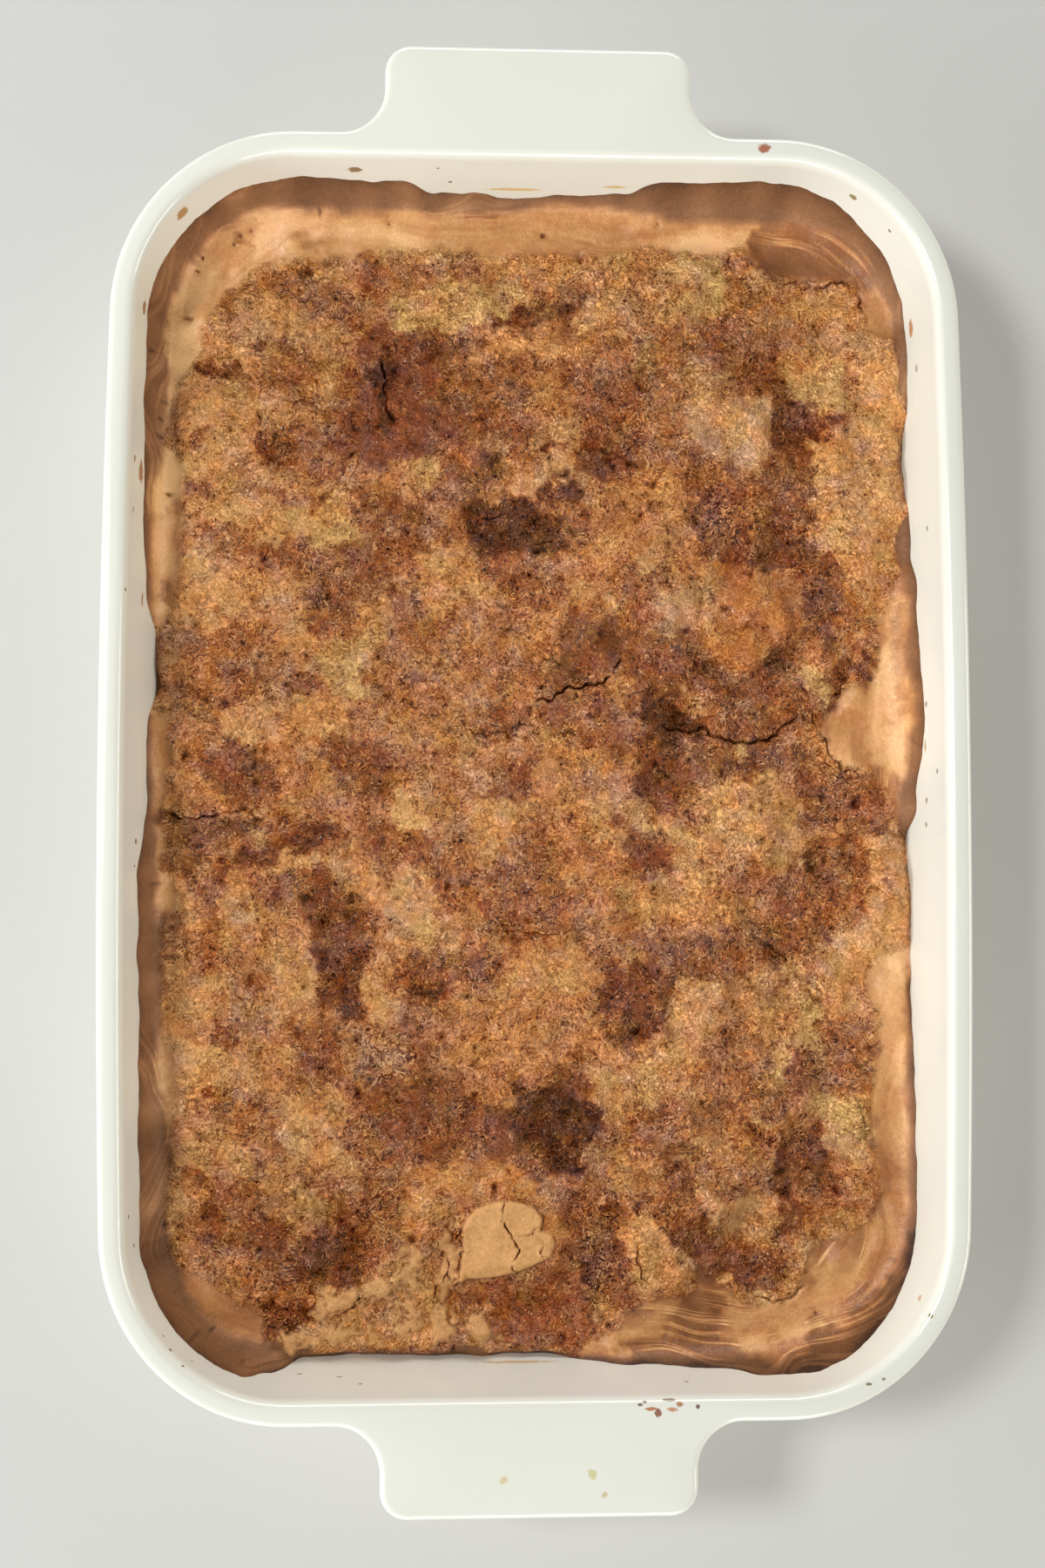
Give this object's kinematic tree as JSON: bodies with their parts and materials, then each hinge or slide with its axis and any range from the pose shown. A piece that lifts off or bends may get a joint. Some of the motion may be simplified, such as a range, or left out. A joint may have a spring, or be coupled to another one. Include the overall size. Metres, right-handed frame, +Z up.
{
  "type": "dump cake in a baking dish",
  "caption": "Uncut dump cake with a browned, crumbly top, baked in a white glazed oblong baking dish with a flat tab handle at each end.",
  "frame": {"origin": "on the table, under the middle of the dish", "axes": "+Y along the dish to its far tab handle, +X to the right seen from the near end, +Z up"},
  "size_m": [0.238, 0.4, 0.06],
  "materials": {
    "glazed_stoneware": "glossy cream-white glaze with small baked-on splashes",
    "baked_cake": "golden to dark brown crumbly crust, moist and slightly shiny, with smooth baked skins at the edges"
  },
  "bodies": {
    "root": {"dish": "glazed_stoneware", "cake": "baked_cake"}
  },
  "joints": []
}
